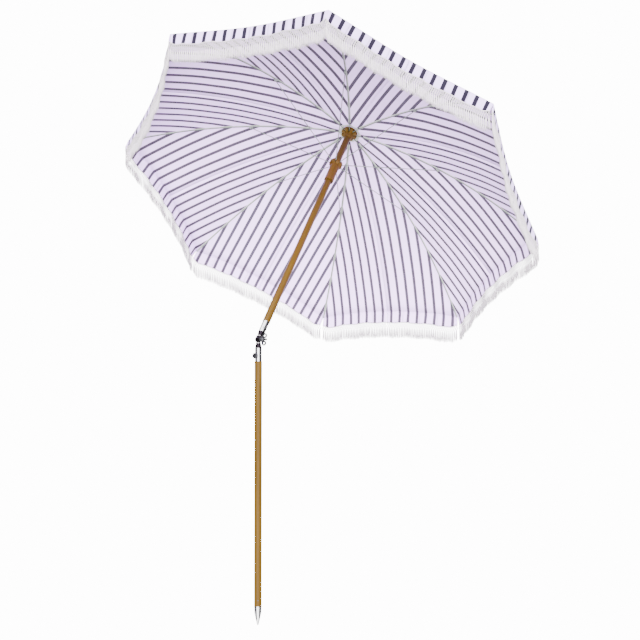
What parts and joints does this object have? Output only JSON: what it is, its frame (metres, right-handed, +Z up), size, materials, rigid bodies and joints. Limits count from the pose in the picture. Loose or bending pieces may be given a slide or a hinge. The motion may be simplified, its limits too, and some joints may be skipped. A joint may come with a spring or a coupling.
{
  "type": "beach umbrella",
  "caption": "Tilting beach umbrella with a two-part pole, ground spike, folding ribs on a sliding runner and a striped canopy with a fringed valance.",
  "frame": {"origin": "pole axis at the foot of the lower pole, where the spike begins", "axes": "+Z up the lower pole, upper pole leans towards +X, tilt hinge along Y with the wing nut on -Y"},
  "size_m": [1.3114, 1.6892, 2.2346],
  "materials": {
    "chrome": "polished, slightly hazed",
    "wood_effect_tube": "golden-brown wood-effect lacquer",
    "turned_wood": "clear satin lacquer",
    "runner_wood": "clear satin lacquer",
    "dark_steel": "dark plated",
    "painted_rib": "pale powder coat",
    "zinc": "zinc plated",
    "canopy_cloth": "woven canvas, pale lavender white with navy pinstripes",
    "fringe_cotton": "knotted cotton fringe"
  },
  "bodies": {
    "lower_half": {"lower_pole": "wood_effect_tube", "ground_spike": "chrome", "lower_rivets": "zinc", "lower_sleeve": "chrome"},
    "thumb_screw": {"thumb_screw": "zinc"},
    "tilt_base": {"tilt_base": "dark_steel", "clamp_bolt": "zinc", "clamp_washer": "zinc"},
    "wing_nut": {"wing_nut": "zinc"},
    "upper_half": {"upper_pole": "wood_effect_tube", "tilt_head": "dark_steel", "upper_sleeve": "chrome", "upper_rivets": "zinc", "runner_catch": "zinc", "crown": "turned_wood", "crown_wire": "zinc", "finial": "turned_wood", "top_cap": "canopy_cloth"},
    "runner": {"runner": "runner_wood", "runner_wire": "zinc"},
    "rib_1": {"rib_1": "painted_rib", "rib_fittings_1": "zinc", "canopy_section_1": "canopy_cloth", "fringe_1": "fringe_cotton"},
    "stretcher_1": {"stretcher_1": "painted_rib"},
    "rib_2": {"rib_2": "painted_rib", "rib_fittings_2": "zinc", "canopy_section_2": "canopy_cloth", "fringe_2": "fringe_cotton"},
    "stretcher_2": {"stretcher_2": "painted_rib"},
    "rib_3": {"rib_3": "painted_rib", "rib_fittings_3": "zinc", "canopy_section_3": "canopy_cloth", "fringe_3": "fringe_cotton"},
    "stretcher_3": {"stretcher_3": "painted_rib"},
    "rib_4": {"rib_4": "painted_rib", "rib_fittings_4": "zinc", "canopy_section_4": "canopy_cloth", "fringe_4": "fringe_cotton"},
    "stretcher_4": {"stretcher_4": "painted_rib"},
    "rib_5": {"rib_5": "painted_rib", "rib_fittings_5": "zinc", "canopy_section_5": "canopy_cloth", "fringe_5": "fringe_cotton"},
    "stretcher_5": {"stretcher_5": "painted_rib"},
    "rib_6": {"rib_6": "painted_rib", "rib_fittings_6": "zinc", "canopy_section_6": "canopy_cloth", "fringe_6": "fringe_cotton"},
    "stretcher_6": {"stretcher_6": "painted_rib"},
    "rib_7": {"rib_7": "painted_rib", "rib_fittings_7": "zinc", "canopy_section_7": "canopy_cloth", "fringe_7": "fringe_cotton"},
    "stretcher_7": {"stretcher_7": "painted_rib"},
    "rib_8": {"rib_8": "painted_rib", "rib_fittings_8": "zinc", "canopy_section_8": "canopy_cloth", "fringe_8": "fringe_cotton"},
    "stretcher_8": {"stretcher_8": "painted_rib"}
  },
  "joints": [
    {"name": "thumb_screw_turn", "type": "hinge", "parent": "lower_half", "child": "thumb_screw", "pos_m": [0, 0, 0.929], "axis": [-0.9903, 0.1392, 0], "continuous": true},
    {"name": "pole_swivel", "type": "hinge", "parent": "lower_half", "child": "tilt_base", "pos_m": [0, 0, 0.958], "axis": [0, 0, 1], "continuous": true},
    {"name": "wing_nut_turn", "type": "hinge", "parent": "tilt_base", "child": "wing_nut", "pos_m": [0, -0.018, 0.99], "axis": [0, -1, 0], "continuous": true},
    {"name": "tilt", "type": "hinge", "parent": "tilt_base", "child": "upper_half", "pos_m": [0, 0, 0.99], "axis": [0, 1, 0], "range_deg": [-39.2, 20.8]},
    {"name": "runner_slide", "type": "slide", "parent": "upper_half", "child": "runner", "axis": [0.632, 0, 0.7749], "range_m": [-0.6115, 0], "deforming": ["runner_catch", "canopy_section_1", "canopy_section_2", "canopy_section_3", "canopy_section_4", "canopy_section_5", "canopy_section_6", "canopy_section_7", "canopy_section_8", "fringe_1", "fringe_2", "fringe_3", "fringe_4", "fringe_5", "fringe_6", "fringe_7", "fringe_8"]},
    {"name": "rib_1_fold", "type": "hinge", "parent": "upper_half", "child": "rib_1", "pos_m": [0.75905, 0.00961, 1.88589], "axis": [-0.3102, 0.9164, 0.253], "range_deg": [0, 66.17]},
    {"name": "stretcher_1_fold", "type": "hinge", "parent": "rib_1", "child": "stretcher_1", "pos_m": [0.97982, 0.16899, 1.57936], "axis": [-0.3102, 0.9164, 0.253], "range_deg": [-132.35, 0]},
    {"name": "rib_2_fold", "type": "hinge", "parent": "upper_half", "child": "rib_2", "pos_m": [0.74879, 0.02235, 1.89425], "axis": [-0.7215, 0.3649, 0.5885], "range_deg": [0, 66.17]},
    {"name": "stretcher_2_fold", "type": "hinge", "parent": "rib_2", "child": "stretcher_2", "pos_m": [0.79942, 0.39301, 1.72649], "axis": [-0.7215, 0.3649, 0.5885], "range_deg": [-132.35, 0]},
    {"name": "rib_3_fold", "type": "hinge", "parent": "upper_half", "child": "rib_3", "pos_m": [0.73456, 0.02199, 1.90586], "axis": [-0.7101, -0.4003, 0.5792], "range_deg": [0, 66.17]},
    {"name": "stretcher_3_fold", "type": "hinge", "parent": "rib_3", "child": "stretcher_3", "pos_m": [0.5491, 0.38681, 1.93065], "axis": [-0.7101, -0.4003, 0.5792], "range_deg": [-132.35, 0]},
    {"name": "rib_4_fold", "type": "hinge", "parent": "upper_half", "child": "rib_4", "pos_m": [0.72469, 0.00876, 1.91391], "axis": [-0.2828, -0.9311, 0.2306], "range_deg": [0, 66.17]},
    {"name": "stretcher_4_fold", "type": "hinge", "parent": "rib_4", "child": "stretcher_4", "pos_m": [0.3755, 0.15402, 2.07224], "axis": [-0.2828, -0.9311, 0.2306], "range_deg": [-132.35, 0]},
    {"name": "rib_5_fold", "type": "hinge", "parent": "upper_half", "child": "rib_5", "pos_m": [0.72496, -0.00961, 1.91369], "axis": [0.3102, -0.9164, -0.253], "range_deg": [0, 66.17]},
    {"name": "stretcher_5_fold", "type": "hinge", "parent": "rib_5", "child": "stretcher_5", "pos_m": [0.38031, -0.16899, 2.06832], "axis": [0.3102, -0.9164, -0.253], "range_deg": [-132.35, 0]},
    {"name": "rib_6_fold", "type": "hinge", "parent": "upper_half", "child": "rib_6", "pos_m": [0.73522, -0.02235, 1.90532], "axis": [0.7215, -0.3649, -0.5885], "range_deg": [0, 66.17]},
    {"name": "stretcher_6_fold", "type": "hinge", "parent": "rib_6", "child": "stretcher_6", "pos_m": [0.56071, -0.39301, 1.92119], "axis": [0.7215, -0.3649, -0.5885], "range_deg": [-132.35, 0]},
    {"name": "rib_7_fold", "type": "hinge", "parent": "upper_half", "child": "rib_7", "pos_m": [0.74945, -0.02199, 1.89371], "axis": [0.7101, 0.4003, -0.5792], "range_deg": [0, 66.17]},
    {"name": "stretcher_7_fold", "type": "hinge", "parent": "rib_7", "child": "stretcher_7", "pos_m": [0.81102, -0.38681, 1.71703], "axis": [0.7101, 0.4003, -0.5792], "range_deg": [-132.35, 0]},
    {"name": "rib_8_fold", "type": "hinge", "parent": "upper_half", "child": "rib_8", "pos_m": [0.75932, -0.00876, 1.88566], "axis": [0.2828, 0.9311, -0.2306], "range_deg": [0, 66.17]},
    {"name": "stretcher_8_fold", "type": "hinge", "parent": "rib_8", "child": "stretcher_8", "pos_m": [0.98463, -0.15402, 1.57544], "axis": [0.2828, 0.9311, -0.2306], "range_deg": [-132.35, 0]}
  ],
  "couplings": [
    {"joint": "rib_1_fold", "follows": "runner_slide", "rad_per_m": -1.8882},
    {"joint": "stretcher_1_fold", "follows": "runner_slide", "rad_per_m": 3.7763},
    {"joint": "rib_2_fold", "follows": "runner_slide", "rad_per_m": -1.8882},
    {"joint": "stretcher_2_fold", "follows": "runner_slide", "rad_per_m": 3.7763},
    {"joint": "rib_3_fold", "follows": "runner_slide", "rad_per_m": -1.8882},
    {"joint": "stretcher_3_fold", "follows": "runner_slide", "rad_per_m": 3.7763},
    {"joint": "rib_4_fold", "follows": "runner_slide", "rad_per_m": -1.8882},
    {"joint": "stretcher_4_fold", "follows": "runner_slide", "rad_per_m": 3.7763},
    {"joint": "rib_5_fold", "follows": "runner_slide", "rad_per_m": -1.8882},
    {"joint": "stretcher_5_fold", "follows": "runner_slide", "rad_per_m": 3.7763},
    {"joint": "rib_6_fold", "follows": "runner_slide", "rad_per_m": -1.8882},
    {"joint": "stretcher_6_fold", "follows": "runner_slide", "rad_per_m": 3.7763},
    {"joint": "rib_7_fold", "follows": "runner_slide", "rad_per_m": -1.8882},
    {"joint": "stretcher_7_fold", "follows": "runner_slide", "rad_per_m": 3.7763},
    {"joint": "rib_8_fold", "follows": "runner_slide", "rad_per_m": -1.8882},
    {"joint": "stretcher_8_fold", "follows": "runner_slide", "rad_per_m": 3.7763}
  ]
}
